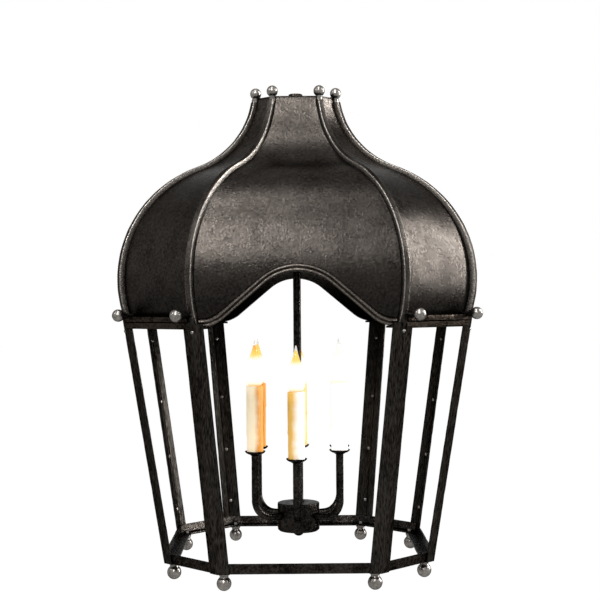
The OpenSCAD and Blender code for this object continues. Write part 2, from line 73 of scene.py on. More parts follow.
NECK_BALL_D, NECK_BALL_Z, NECK_BALL_REACH, NECK_COLLAR_D = 17.0, 719.5, 70.0, 9.0
CAP_T, WASHER_D, WASHER_T = 2.5, 32.0, 1.5
HANGER_NUT_AF, HANGER_TOP_Z, HANGER_BORE_R = 19.0, 724.5, 4.9
CANDLE_REACH, CLUSTER_TURN, CUP_Z, CUP_RISE = 74.0, -2.0, 175.0, (-6, 3, 1, -2, 0, 1)
ARM_Z, ARM_BEND_R, ARM_D, ARM_IN_HUB, CUP_STEM = 75.0, 28.0, 11.5, 8.0, 5.0
SLEEVE_D, SLEEVE_H, SLEEVE_WALL, SLEEVE_LIP = 25.0, 101.0, 2.5, 2.0
HUB_D, HUB_Z, HUB_H, HUB_LID_T, HUB_WALL, HUB_FLOOR, HUB_EASE = 65.0, 51.0, 43.0, 3.0, 2.5, 3.0, 2.5
ROD_D, ROD_BORE_R, ROD_TOP_Z, ROD_LOW_Z, FINIAL_Z, FINIAL_R = 12.0, 3.5, 718.0, 46.0, 42.0, 8.4

CORNER_AZ = atan(WIDE_SHARE)
NARROW_HALF_AZ = pi / 4 - CORNER_AZ
NARROW_FACTOR = (1 + WIDE_SHARE) / sqrt(2)
CORNER_FACTOR = 1 / cos(CORNER_AZ)
CAGE_SLOPE = (CAGE_TOP_HALF - CAGE_FOOT_HALF) / (POST_TOP_Z - RING_Z)

BULGE_C = np.array([BELLY_HALF - BULGE_R, BELLY_Z])
FLARE_C = BULGE_C + (BULGE_R + FLARE_R) * np.array([cos(BULGE_SWEEP), sin(BULGE_SWEEP)])


def slot_of(node):
    """The material slot that the record gives a CAD node."""
    for row in frame["record"]["subparts"]:
        if row["node"] == node:
            return row["material_slot"]


def cage_half(z):
    """Distance from the axis to the plane of a wide side of the cage."""
    return CAGE_FOOT_HALF + CAGE_SLOPE * (z - RING_Z)


def dome_profile(steps=400):
    """Profile of a wide side from the bottom up: rows of distance from the axis, height and outward normal."""
    flare_end = asin((FLARE_C[1] - NECK_Z) / FLARE_R)
    rows = []
    for a in np.linspace(BULGE_START, BULGE_SWEEP, steps):
        n = np.array([cos(a), sin(a)])
        rows.append([*(BULGE_C + BULGE_R * n), *n])
    for a in np.linspace(BULGE_SWEEP, flare_end, steps)[1:]:
        n = np.array([cos(a), sin(a)])
        rows.append([*(FLARE_C - FLARE_R * n), *n])
    return np.array(rows)


PROFILE = dome_profile()
PROFILE_S = np.concatenate([[0], np.cumsum(np.hypot(*np.diff(PROFILE[:, :2], axis=0).T))])


def profile_at(s):
    """(distance, height, normal out, normal up) at an arc length along the dome's profile."""
    return [np.interp(s, PROFILE_S, PROFILE[:, i]) for i in range(4)]


def profile_s(z):
    """Arc length along the dome's profile at a height."""
    return np.interp(z, PROFILE[:, 1], PROFILE_S)


def bulge_half(z, proud=0.0):
    """Distance of the dome's lower bulge from the axis on a wide side at a height."""
    return BULGE_C[0] + sqrt((BULGE_R + proud) ** 2 - (z - BELLY_Z) ** 2)


def arch_curve(down, steps=26):
    """Half of the arch, from the middle out to the corner, moved down square to itself: (x, z) rows."""
    rise = 1 - cos(ARCH_SLOPE)
    top_z = (ARCH_FOOT_Z + (ARCH_FOOT_R + ARCH_TOP_R) * rise
             + tan(ARCH_SLOPE) * (ARCH_FOOT_HALF - (ARCH_FOOT_R + ARCH_TOP_R) * sin(ARCH_SLOPE)))
    r_top, r_foot = ARCH_TOP_R - down, ARCH_FOOT_R + down
    top = [(r_top * sin(a), top_z - ARCH_TOP_R + r_top * cos(a)) for a in np.linspace(0, ARCH_SLOPE, steps)]
    foot = [(ARCH_FOOT_HALF - r_foot * sin(a), ARCH_FOOT_Z + ARCH_FOOT_R - r_foot * cos(a))
            for a in np.linspace(ARCH_SLOPE, 0, steps)]
    high, low = np.array(top[-1]), np.array(foot[0])
    slope = [tuple(high + u * (low - high)) for u in np.linspace(0, 1, steps)[1:-1]]
    level = [(x, ARCH_FOOT_Z - down) for x in np.linspace(ARCH_FOOT_HALF, 150, 5)[1:]]
    return np.array(top + slope + foot + level)


def side_matrix(i):
    """X outward through wide side i."""
    return Matrix.Rotation(pi / 2 * (i - 1), 4, "Z")


def corner_side_matrix(i):
    """X outward through narrow side i."""
    return Matrix.Rotation(pi / 2 * i - pi / 4, 4, "Z")


def corner_matrix(k):
    """X outward through corner k and Y along its narrow side."""
    flip = Matrix.Diagonal((-1, 1, 1, 1)) if k % 2 else Matrix.Identity(4)
    return Matrix.Rotation(pi / 2 * (k // 2), 4, "Z") @ flip @ Matrix.Rotation(CORNER_AZ - pi / 2, 4, "Z")


def arm_matrix(i):
    """X outward along arm i of the candle cluster."""
    return Matrix.Rotation(radians(60 * i - 90 + CLUSTER_TURN), 4, "Z")


def seat_z(i):
    """Height of the seat of candle i in its cup."""
    return CUP_Z + CUP_RISE[i]


# Meshes

def new_object(name, verts, faces, material, smooth_angle=40, rub=None):
    """A mesh object from points in millimetres, with outward normals. Edges sharper than smooth_angle stay sharp.
    rub tells for each point how far the patina is rubbed off there."""
    mesh = bpy.data.meshes.new(name)
    mesh.from_pydata([tuple(MM * c for c in v) for v in verts], [], faces)
    if rub:
        mesh.attributes.new("rub", "FLOAT", "POINT").data.foreach_set("value", rub)
    bm = bmesh.new()
    bm.from_mesh(mesh)
    bmesh.ops.remove_doubles(bm, verts=bm.verts, dist=1e-6)
    bmesh.ops.dissolve_degenerate(bm, edges=bm.edges, dist=1e-7)
    bmesh.ops.recalc_face_normals(bm, faces=bm.faces)
    limit = radians(smooth_angle)
    for face in bm.faces:
        face.smooth = True
    for edge in bm.edges:
        edge.smooth = len(edge.link_faces) == 2 and edge.calc_face_angle(0) < limit
    bm.to_mesh(mesh)
    bm.free()
    mesh.materials.append(material)
    obj = bpy.data.objects.new(name, mesh)
    bpy.context.scene.collection.objects.link(obj)
    return obj


def stand_for(obj, nodes):
    """obj rides on the lantern and takes the place of these CAD nodes, which are hidden."""
    nodes = [nodes] if isinstance(nodes, str) else nodes
    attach(obj, "root")
    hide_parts(*nodes)


class Shape:
    """Collects points and faces of one mesh from several grids."""

    def __init__(self):
        self.verts, self.faces = [], []

    def grid(self, points, closed_rows=False, closed_cols=False, cap=False):
        """points[row][col] joined into quads. cap closes the first and last row with a face."""
        base, rows, cols = len(self.verts), len(points), len(points[0])
        for row in points:
            self.verts += [tuple(p) for p in row]
        for r in range(rows if closed_rows else rows - 1):
            for c in range(cols if closed_cols else cols - 1):
                a, b = base + r * cols + c, base + r * cols + (c + 1) % cols
                d, e = base + (r + 1) % rows * cols + c, base + (r + 1) % rows * cols + (c + 1) % cols
                self.faces.append((a, b, e, d))
        if cap:
            self.faces.append(tuple(base + c for c in range(cols)))
            self.faces.append(tuple(base + (rows - 1) * cols + c for c in reversed(range(cols))))

    def loops(self, rows, cap=False, closed_rows=False):
        """Rows that each close on themselves."""
        self.grid(rows, closed_rows, True, cap)

    def move(self, matrix, start=0):
        self.verts[start:] = [tuple(matrix @ Vector(v)) for v in self.verts[start:]]

    def put(self, rows, matrix, **ends):
        """Loops that are moved by a matrix of their own."""
        start = len(self.verts)
        self.loops(rows, **ends)
        self.move(matrix, start)

    def build(self, name, material, smooth_angle=40, rub=None):
        return new_object(name, self.verts, self.faces, material, smooth_angle, rub)


def bar(rows, matrix, name, node, material, smooth_angle=50, rub=None):
    """A bar through its cross-sections, closed at both ends, in place of a CAD node."""
    shape = Shape()
    shape.loops(rows, cap=True)
    shape.move(matrix)
    stand_for(shape.build(name, material, smooth_angle, rub), node)


def waver(p, size, amount, seed=0.0):
    """Smooth unevenness at a point: about amount up or down, over lengths of about size."""
    return amount * noise.noise(Vector(p) / size + Vector((seed, 3.7 * seed, -1.9 * seed)))


def rounded(outline, radius, steps=3):
    """The points of a closed outline with each corner rounded, or less where its edges are short."""
    out = []
    for i, corner in enumerate(outline):
        p = np.array(corner, float)
        a, b = np.array(outline[i - 1], float), np.array(outline[(i + 1) % len(outline)], float)
        da, db = a - p, b - p
        la, lb = np.linalg.norm(da), np.linalg.norm(db)
        r = min(radius, 0.45 * la, 0.45 * lb)
        pa, pb = p + da / la * r, p + db / lb * r
        for t in np.linspace(0, 1, steps):
            out.append((1 - t) ** 2 * pa + 2 * t * (1 - t) * p + t ** 2 * pb)
    return out


def lathe(outline, steps=48, dent=0.0, seed=0.0):
    """Rings of points from (radius, height) rows turned about Z. Dents only go inward, to about dent."""
    rings = []
    for r, z in outline:
        ring = []
        for a in np.linspace(0, 2 * pi, steps, endpoint=False):
            x, y = r * cos(a), r * sin(a)
            near = 1 - abs(waver((x, y, z), 6, dent, seed)) / max(r, 1) if dent else 1
            ring.append((x * near, y * near, z))
        rings.append(ring)
    return rings


def ball_rows(radius, centre_z, low=-90, high=90, steps=18):
    """(radius, height) rows of a ball from one latitude to another, in degrees."""
    return [(max(radius * cos(radians(t)), 0.01), centre_z + radius * sin(radians(t)))
            for t in np.linspace(low, high, steps)]


# Materials

def node_tree(name):
    """A new material, its node tree and its Principled shader."""
    mat = bpy.data.materials.new(name)
    mat.use_nodes = True
    tree = mat.node_tree
    return mat, tree, tree.nodes["Principled BSDF"]


def add(tree, kind, **inputs):
    """A new node with values set on its inputs."""
    node = tree.nodes.new(kind)
    for key, value in inputs.items():
        node.inputs[key.replace("_", " ")].default_value = value
    return node


def ramp(tree, source, stops):
    """A colour ramp over a value, from (position, colour or grey) stops."""
    node = tree.nodes.new("ShaderNodeValToRGB")
    while len(node.color_ramp.elements) < len(stops):
        node.color_ramp.elements.new(0.5)
    for el, (pos, col) in zip(node.color_ramp.elements, stops):
        el.position = pos
        el.color = (*col, 1) if hasattr(col, "__len__") else (col, col, col, 1)
    tree.links.new(source, node.inputs["Fac"])
    return node.outputs["Color"]


def maths(tree, operation, *values):
    """A maths node over sockets or numbers."""
    node = tree.nodes.new("ShaderNodeMath")
    node.operation = operation
    for socket, value in zip(node.inputs, values):
        if isinstance(value, (int, float)):
            socket.default_value = value
        else:
            tree.links.new(value, socket)
    return node.outputs[0]


def blend(tree, under, over, share, mode="MIX"):
    """Colour over mixed into colour under by a share; over and share are sockets or values."""
    mix = tree.nodes.new("ShaderNodeMix")
    mix.data_type, mix.blend_type = "RGBA", mode
    tree.links.new(under, mix.inputs["A"])
    for socket, value in ((mix.inputs["B"], over), (mix.inputs["Factor"], share)):
        if isinstance(value, bpy.types.NodeSocket):
            tree.links.new(value, socket)
        else:
            socket.default_value = (*value, 1) if isinstance(value, tuple) else value
    return mix.outputs["Result"]


def place_of(tree, scale=(1, 1, 1)):
    """Object coordinates, stretched along an axis where its scale is small."""
    spot = tree.nodes.new("ShaderNodeTexCoord").outputs["Object"]
    mapping = add(tree, "ShaderNodeMapping", Scale=scale)
    tree.links.new(spot, mapping.inputs["Vector"])
    return mapping.outputs["Vector"]


def noise_at(tree, place, scale, detail=4, rough=0.6):
    """A noise texture over a place."""
    tex = add(tree, "ShaderNodeTexNoise", Scale=scale, Detail=detail, Roughness=rough)
    tree.links.new(place, tex.inputs["Vector"])
    return tex.outputs["Fac"]


def along(tree, place, axis):
    """One coordinate of a place."""
    split = tree.nodes.new("ShaderNodeSeparateXYZ")
    tree.links.new(place, split.inputs[0])
    return split.outputs[axis]


def bump(tree, height, strength, distance, below=None):
    """A normal bent by a height, on top of another one if below is given."""
    node = add(tree, "ShaderNodeBump", Strength=strength, Distance=distance)
    tree.links.new(height, node.inputs["Height"])
    if below is not None:
        tree.links.new(below, node.inputs["Normal"])
    return node.outputs["Normal"]


def iron(name, dark, light, roughness=(0.36, 0.46), stretch=1.0, cell=210, grain=0.2, crackle=0.25, tint=0.4,
         spread=(0.38, 0.62), patch=0.4, fine=300, painted_shade_by_height=None, bright=None):
    """Patinated wrought iron: mottled from dark to light, with leathery folds and a fine grain. A small stretch
    draws the mottling out along Z. spread is where in the noise dark ends and light begins, patch the share of
    large mottling in it, and fine the scale of the rest. The ramp by height lists (metres up, share of the colour
    kept there) and paints shade and sheen into the colour by height. bright is the metal that shows where the
    patina is rubbed off."""
    mat, tree, bsdf = node_tree(name)
    place = place_of(tree, (1, 1, stretch))

    patches = maths(tree, "ADD", maths(tree, "MULTIPLY", noise_at(tree, place, 30, 5), patch),
                    maths(tree, "MULTIPLY", noise_at(tree, place, fine), 1 - patch))
    colour = ramp(tree, patches, [(spread[0], dark), (spread[1], light)])
    # Painted shade and sheen: a ramp over height darkens the colour in bands.
    if painted_shade_by_height:
        colour = blend(tree, colour, ramp(tree, along(tree, place, "Z"), painted_shade_by_height), 1.0, "MULTIPLY")
    if bright:
        worn = tree.nodes.new("ShaderNodeAttribute")
        worn.attribute_name = "rub"
        worn = maths(tree, "MULTIPLY", worn.outputs["Fac"],
                     ramp(tree, noise_at(tree, place, 700, 3), [(0.38, 0.1), (0.6, 1.0)]))
        colour = blend(tree, colour, bright, worn)
    tree.links.new(colour, bsdf.inputs["Base Color"])
    tree.links.new(ramp(tree, noise_at(tree, place, 95), [(0.35, roughness[0]), (0.7, roughness[1])]),
                   bsdf.inputs["Roughness"])

    bent = tree.nodes.new("ShaderNodeVectorMath")
    bent.operation = "ADD"
    shift = add(tree, "ShaderNodeTexNoise", Scale=240, Detail=2)
    tree.links.new(place, shift.inputs["Vector"])
    sway = tree.nodes.new("ShaderNodeVectorMath")
    sway.operation = "SCALE"
    sway.inputs["Scale"].default_value = 0.004
    tree.links.new(shift.outputs["Color"], sway.inputs[0])
    tree.links.new(place, bent.inputs[0])
    tree.links.new(sway.outputs["Vector"], bent.inputs[1])
    cells = add(tree, "ShaderNodeTexVoronoi", Scale=cell)
    cells.feature = "DISTANCE_TO_EDGE"
    tree.links.new(bent.outputs["Vector"], cells.inputs["Vector"])
    folds = ramp(tree, cells.outputs["Distance"], [(0.0, 0.0), (0.22, 1.0)])

    grainy = bump(tree, noise_at(tree, place, 620, 3), grain, 0.0006)
    tree.links.new(bump(tree, folds, crackle, 0.0005, grainy), bsdf.inputs["Normal"])
    bsdf.inputs["Metallic"].default_value = 1.0
    bsdf.inputs["Specular Tint"].default_value = (tint, tint, tint, 1)
    return mat


def plain(name, color, roughness=0.5, metallic=0.0):
    """A simple surface with a faint speckle in its colour and a fine grain."""
    mat, tree, bsdf = node_tree(name)
    speckle = noise_at(tree, place_of(tree), 500, 3, 0.5)
    low, high = [0.82 * c for c in color], [min(1, 1.12 * c) for c in color]
    tree.links.new(ramp(tree, speckle, [(0.3, low), (0.7, high)]), bsdf.inputs["Base Color"])
    tree.links.new(bump(tree, speckle, 0.15, 0.0004), bsdf.inputs["Normal"])
    bsdf.inputs["Roughness"].default_value = roughness
    bsdf.inputs["Metallic"].default_value = metallic
    return mat


# Height on a candle sleeve, in metres, from which the bulb warms the wax, and the length over which it grows
WARM_FROM, WARM_OVER = 0.080, 0.022


def wax(name, pale, amber, way, start, end, inner):
    """Candle wax that runs from pale to amber across the sleeve, lit warm by the bulb at its top. way is the side
    that is amber, start and end are where amber begins and is full, and inner is the light through the wax."""
    mat, tree, bsdf = node_tree(name)
    place = place_of(tree)
    clouds = noise_at(tree, place, 55, rough=0.5)
    across = maths(tree, "MULTIPLY", along(tree, place, "X"), way / (SLEEVE_D / 2 * MM))
    across = maths(tree, "ADD", across, maths(tree, "MULTIPLY", maths(tree, "SUBTRACT", clouds, 0.5), 0.9))
    share = maths(tree, "DIVIDE", maths(tree, "SUBTRACT", across, start), end - start)
    colour = ramp(tree, share, [(0.0, pale), (1.0, amber)])
    tree.links.new(colour, bsdf.inputs["Base Color"])
    tree.links.new(colour, bsdf.inputs["Emission Color"])
    glow = maths(tree, "DIVIDE", maths(tree, "SUBTRACT", along(tree, place, "Z"), WARM_FROM), WARM_OVER)
    warm = maths(tree, "MULTIPLY", maths(tree, "MAXIMUM", glow, 0.0), 0.35)
    tree.links.new(maths(tree, "ADD", warm, inner), bsdf.inputs["Emission Strength"])
    bsdf.inputs["Roughness"].default_value = 0.5
    bsdf.inputs["Subsurface Weight"].default_value = 0.15
    bsdf.inputs["Subsurface Radius"].default_value = (0.004, 0.002, 0.001)
    tree.links.new(bump(tree, clouds, 0.25, 0.0006), bsdf.inputs["Normal"])
    return mat


def clear_glass(name):
    """Thin clear bulb glass."""
    mat, tree, bsdf = node_tree(name)
    haze = noise_at(tree, place_of(tree), 60, 2, 0.5)
    tree.links.new(ramp(tree, haze, [(0.3, (0.97, 0.97, 0.96)), (0.7, (1, 1, 1))]), bsdf.inputs["Base Color"])
    bsdf.inputs["Transmission Weight"].default_value = 1.0
    bsdf.inputs["Roughness"].default_value = 0.02
    bsdf.inputs["IOR"].default_value = 1.3
    return mat


CORE_H = 0.066
CORE_WHITE = [(0.06, (1.0, 0.88, 0.68)), (0.13, (1.0, 0.99, 0.96)), (0.58, (1.0, 0.99, 0.95))]


def lit_core(name, foot, middle, tip, strength):
    """The light inside a bulb, by height: a foot in its own colour, a white body and a flame-coloured tip."""
    mat, tree, bsdf = node_tree(name)
    height = maths(tree, "DIVIDE", along(tree, place_of(tree), "Z"), CORE_H)
    colour = ramp(tree, height, [(0.0, foot), *CORE_WHITE, (0.70, middle), (0.92, tip)])
    tree.links.new(colour, bsdf.inputs["Emission Color"])
    bsdf.inputs["Base Color"].default_value = (0.10, 0.08, 0.05, 1)
    bsdf.inputs["Emission Strength"].default_value = strength
    bsdf.inputs["Roughness"].default_value = 0.5
    return mat


# The finishes, one per slot of the record, and some for one kind of piece. The dome sheet's colour has painted
# shade and sheen by height: darkest at its lower edge and in the hollow under the neck.
SHEET_PAINTED_SHADE_AND_SHEEN = [(0.375, 0.22), (0.42, 0.45), (0.46, 0.66), (0.49, 0.62), (0.53, 0.56), (0.575, 0.6), (0.60, 0.9),
               (0.63, 0.85), (0.66, 0.6), (0.70, 0.9)]
SHEET = iron("sheet_iron", (0.016, 0.0138, 0.0122), (0.058, 0.051, 0.045), (0.25, 0.32), cell=230, grain=0.13,
             crackle=0.18, spread=(0.37, 0.64), patch=0.3, painted_shade_by_height=SHEET_PAINTED_SHADE_AND_SHEEN, tint=0.5)
RIB = iron("rib_iron", (0.007, 0.006, 0.0055), (0.030, 0.026, 0.023), (0.26, 0.38), cell=300, spread=(0.42, 0.6),
           bright=(0.27, 0.245, 0.22))
MOULD = iron("moulding_iron", (0.006, 0.005, 0.0043), (0.036, 0.029, 0.024), (0.28, 0.40), cell=260, crackle=0.3,
             spread=(0.42, 0.6), bright=(0.13, 0.115, 0.10))
BAR = iron("bar_iron", (0.004, 0.0035, 0.003), (0.030, 0.026, 0.023), (0.22, 0.34), cell=260, spread=(0.42, 0.62))
WROUGHT = iron("wrought_iron", (0.004, 0.0035, 0.003), (0.034, 0.030, 0.026), (0.28, 0.42), stretch=0.04, cell=300,
               spread=(0.40, 0.66), patch=0.2, fine=650)
BALL = iron("burnished_iron", (0.09, 0.083, 0.076), (0.22, 0.205, 0.19), (0.26, 0.34), grain=0.12, crackle=0.1)
BRASS = plain("thread_brass", (0.60, 0.42, 0.17), 0.35, 1.0)
SOCKET = plain("socket_body", (0.025, 0.024, 0.023), 0.35)
WIRE = plain("wire_cover", (0.20, 0.08, 0.04), 0.6)
WAX = plain("candle_wax", (0.86, 0.70, 0.44), 0.5)
GLASS = plain("bulb_glass", (0.95, 0.93, 0.88), 0.2)

SLOT_MATERIALS = {
    "sheet_iron": SHEET, "bar_iron": BAR, "burnished_iron": BALL, "thread_brass": BRASS,
    "socket_body": SOCKET, "wire_cover": WIRE, "candle_wax": WAX, "bulb_glass": GLASS}
for node, obj in frame["nodes"].items():
    obj.data.materials.clear()
    obj.data.materials.append(SLOT_MATERIALS[slot_of(node)])


# Dome sheets

# The panels' bow: lengths over which it changes and how far it goes, which dies away toward the ribs
BOW_LONG, BOW_SHORT, BOW_FADE = (90, 0.45), (24, 0.12), 6


def sheet_points(factor, half_az, low_z, rows, cols, seed):
    """Outer and inner points of one panel. factor is how far it stands from the axis beside a wide side, and
    low_z(x) is the height of its lower edge."""
    reach = RIB_W / 2 / cos(half_az)
    outer, inner = [], []
    for u in np.linspace(-1, 1, cols):
        z = POST_TOP_Z
        for _ in range(25):
            dist = profile_at(profile_s(z))[0] * factor
            z = low_z(abs(u) * (dist * tan(half_az) - reach))
        column_out, column_in = [], []
        for s in np.linspace(profile_s(z), PROFILE_S[-1], rows):
            dist, height, n_out, n_up = profile_at(s)
            n = np.array([n_out / factor, 0, n_up])
            n /= np.linalg.norm(n)
            half = dist * factor * tan(half_az) - reach
            p = np.array([dist * factor, u * half, height])
            edge = min(1, BOW_FADE * (1 - abs(u)))
            bow = edge * (waver(p, *BOW_LONG, seed) + waver(p, *BOW_SHORT, seed + 5))
            column_out.append(p + bow * n)
            column_in.append(p + (bow - SHEET_T) * n)
        outer.append(column_out)
        inner.append(column_in)
    return outer, inner


def panel(name, node, factor, half_az, low_z, matrix, rows, cols, seed):
    """One sheet of the dome, closed along its four edges."""
    outer, inner = sheet_points(factor, half_az, low_z, rows, cols, seed)
    shape = Shape()
    shape.grid(outer)
    shape.grid(inner)
    for a, b in ((outer[0], inner[0]), (outer[-1], inner[-1]),
                 ([c[0] for c in outer], [c[0] for c in inner]), ([c[-1] for c in outer], [c[-1] for c in inner])):
        shape.grid([a, b])
    shape.move(matrix)
    stand_for(shape.build(name, SHEET, 50), node)


ARCH_LOW = arch_curve(MOULDING_W)
SIDES = ["front", "right", "back", "left"]
CORNERS = ["front_right", "back_right", "back_left", "front_left"]
for i, side in enumerate(SIDES):
    panel("panel_" + side, "dome_panel_" + side, 1, CORNER_AZ,
          lambda x: float(np.interp(x, ARCH_LOW[:, 0], ARCH_LOW[:, 1])), side_matrix(i), 90, 64, i + 1)
for i, corner in enumerate(CORNERS):
    panel("panel_" + corner, "corner_panel_" + corner, NARROW_FACTOR, NARROW_HALF_AZ,
          lambda x: POST_TOP_Z, corner_side_matrix(i), 90, 30, i + 11)


# Ribs: square bars with hammered corners

RIB_EASE, RIB_STEP = 1.3, 1.2
RIB_BEAT, RIB_DENT = 3.6, 0.45


def rib(k):
    """The bar on corner k. Its outer corners are dented once per RIB_BEAT along it, and rubbed bright."""
    section = rounded([(-RIB_SUNK, -RIB_W / 2), (RIB_PROUD, -RIB_W / 2), (RIB_PROUD, RIB_W / 2),
                       (-RIB_SUNK, RIB_W / 2)], RIB_EASE, 4)
    low, high = profile_s(POST_TOP_Z), profile_s(RIB_TOP_Z)
    rows, rub = [], []
    for s in np.arange(low, high + RIB_STEP / 2, RIB_STEP):
        dist, height, n_out, n_up = profile_at(min(s, high))
        n = np.array([n_out * CORNER_FACTOR, n_up])
        row = []
        for h, y in section:
            p = np.array([dist * CORNER_FACTOR + h * n[0], y, height + h * n[1]])
            corner = max(0, h / RIB_PROUD) * (abs(y) / (RIB_W / 2)) ** 2
            rub.append(min(1, max(0, (corner - 0.5) / 0.25)))
            beat = 2 * pi * (s + 0.6 * y) / RIB_BEAT + k + 0.6 * noise.noise(Vector((s / 9, k, 0)))
            dent = RIB_DENT * corner * (0.5 + 0.5 * sin(beat)) + waver((s, y, k * 20), 11, 0.22, k)
            p[0] -= dent * n[0]
            p[2] = min(max(p[2] - dent * n[1], POST_TOP_Z), RIB_TOP_Z)
            row.append(p)
        rows.append(row)
    bar(rows, corner_matrix(k), "ribbar_%d" % (k + 1), "rib_%d" % (k + 1), RIB, rub=rub)


for k in range(8):
    rib(k)


# Mouldings along the arches: a band with two reeds. Its section lists (distance below the arch's line, height
# above the sheet).

MOULDING_SECTION = [
    (0, -0.4), (0, 2.6), (0.5, 3.3), (1.2, 4.6), (2.2, 5.3), (3.3, 5.2), (4.2, 4.2), (4.8, 3.4), (5.6, 3.4),
    (6.2, 4.2), (7.2, 5.2), (8.3, 5.3), (9.2, 4.6), (9.9, 3.5), (MOULDING_W, 2.8), (MOULDING_W, -0.4)]
REED_RUB_FROM, REED_RUB_OVER = 4.4, 0.8


def moulding(i, side):
    curves = [arch_curve(down) for down, _ in MOULDING_SECTION]
    count = len(curves[0])
    rows, rub = [], []
    for step in range(1 - count, count):
        row = []
        for (down, h), curve in zip(MOULDING_SECTION, curves):
            x, z = curve[abs(step)]
            dist, height, n_out, n_up = profile_at(profile_s(z))
            flank = dist * WIDE_SHARE - RIB_W / 2 / cos(CORNER_AZ)
            x = copysign(min(x, flank), step)
            rough = h + (0 if h < 0 else waver((x, 0, z + down), 7, 0.35, i + 3))
            rub.append(min(1, max(0, (h - REED_RUB_FROM) / REED_RUB_OVER)))
            row.append((dist + rough * n_out, x, max(height + rough * n_up, POST_TOP_Z)))
        rows.append(row)
    bar(rows, side_matrix(i), "moulding_" + side, "arch_moulding_" + side, MOULD, rub=rub)


for i, side in enumerate(SIDES):
    moulding(i, side)


# Posts: wrought angles with a seat for the rivets inside, a plate and a head on top

WIDE_TAN, NARROW_TAN = tan(CORNER_AZ), tan(NARROW_HALF_AZ)
WIDE_Y, NARROW_Y = POST_LEG * cos(CORNER_AZ), POST_LEG * cos(NARROW_HALF_AZ)
WIDE_DEPTH, NARROW_DEPTH = ANGLE_T / cos(CORNER_AZ), ANGLE_T / cos(NARROW_HALF_AZ)
BLUNT = [(-WIDE_TAN * POST_EDGE, -POST_EDGE), (-NARROW_TAN * POST_EDGE, POST_EDGE)]
WIDE_END = [(-WIDE_TAN * WIDE_Y - ANGLE_T * cos(CORNER_AZ), ANGLE_T * sin(CORNER_AZ) - WIDE_Y),
            (-WIDE_TAN * WIDE_Y, -WIDE_Y)]
NARROW_END = [(-NARROW_TAN * NARROW_Y, NARROW_Y),
              (-NARROW_TAN * NARROW_Y - ANGLE_T * cos(NARROW_HALF_AZ), NARROW_Y - ANGLE_T * sin(NARROW_HALF_AZ))]


def leaning_rows(outline, levels, k, radius=0.7, rough=0.5):
    """Level cross-sections of a bar that leans with the cage, measured from its corner line. radius eases its
    edges, and rough is the depth of its forged face."""
    section = rounded(outline, radius, 3)
    rows = []
    for z in levels:
        base = CORNER_FACTOR * cage_half(z)
        row = []
        for x, y in section:
            dent = max(0, waver((x * 2, y * 2, z / 2 + 90 * k), 7, rough, k + 30))
            row.append((base + x - dent, y - copysign(0.4 * dent, y), z))
        rows.append(row)
    return rows


def post(k):
    """Angle k: without the seat beside the ring, with it up to the waist bar, narrower behind that, then the
    plate under the dome and the head in front of the rib."""
    half_rib, half_seat = RIB_W / 2, RIVET_SEAT_W / 2
    seat_low = (RIVET_SEAT - WIDE_DEPTH) / WIDE_TAN
    seat = [(-NARROW_TAN * half_seat - NARROW_DEPTH, half_seat), (-RIVET_SEAT, half_seat), (-RIVET_SEAT, -seat_low)]
    no_seat = [(-NARROW_TAN * half_seat - NARROW_DEPTH, half_seat), (-NARROW_DEPTH - 0.6, 0.9),
               (-WIDE_DEPTH - 0.1, -0.2)]
    rib_side = [(-NARROW_TAN * half_rib, half_rib)]
    ring_top = RING_Z + RING_H
    shape = Shape()
    for outline, low, high, steps in (
            (NARROW_END + no_seat + WIDE_END, RING_Z, ring_top, 8),
            (NARROW_END + seat + WIDE_END, ring_top, WAIST_BAR_Z, 150),
            (rib_side + [(-NARROW_TAN * half_rib - NARROW_DEPTH, half_rib)] + seat[1:] + WIDE_END,
             WAIST_BAR_Z - 0.4, POST_HIGH_Z, 6),
            (rib_side + [(-DOME_SEAT_DEPTH, half_rib), (-DOME_SEAT_DEPTH, -WIDE_Y)] + WIDE_END[1:],
             POST_TOP_Z - DOME_SEAT_T, POST_TOP_Z, 3)):
        shape.loops(leaning_rows(BLUNT + outline, np.linspace(low, high, steps), k), cap=True)
    head = []
    for z in np.linspace(POST_TOP_Z - 0.4, WAIST_TOP_Z, 8):
        base, back = CORNER_FACTOR * cage_half(z), CORNER_FACTOR * bulge_half(z, RIB_PROUD)
        soft = 0.8 if z == WAIST_TOP_Z else 0
        head.append([(back, -half_rib, z), (base - WIDE_TAN * half_rib - soft, -half_rib, z),
                     (base + BLUNT[0][0] - soft, BLUNT[0][1], z), (base + BLUNT[1][0] - soft, BLUNT[1][1], z),
                     (base - NARROW_TAN * half_rib - soft, half_rib, z), (back, half_rib, z)])
    shape.loops(head, cap=True)
    shape.move(corner_matrix(k))
    stand_for(shape.build("postbar_%d" % (k + 1), WROUGHT, 40), "post_%d" % (k + 1))


for k in range(8):
    post(k)


# Domed rivet heads, as (radius, height): one OUTER_HEAD on the corner at the top of each post, OUTER_HEAD_IN inside
# the corner line, and SEAT_HEAD on the seat inside it. HEAD_SUNK is how far each one reaches into the post.

SEAT_HEAD, OUTER_HEAD, OUTER_HEAD_IN, HEAD_SUNK = (2.8, 1.2), (2.5, 2.3), 1.7, 0.8


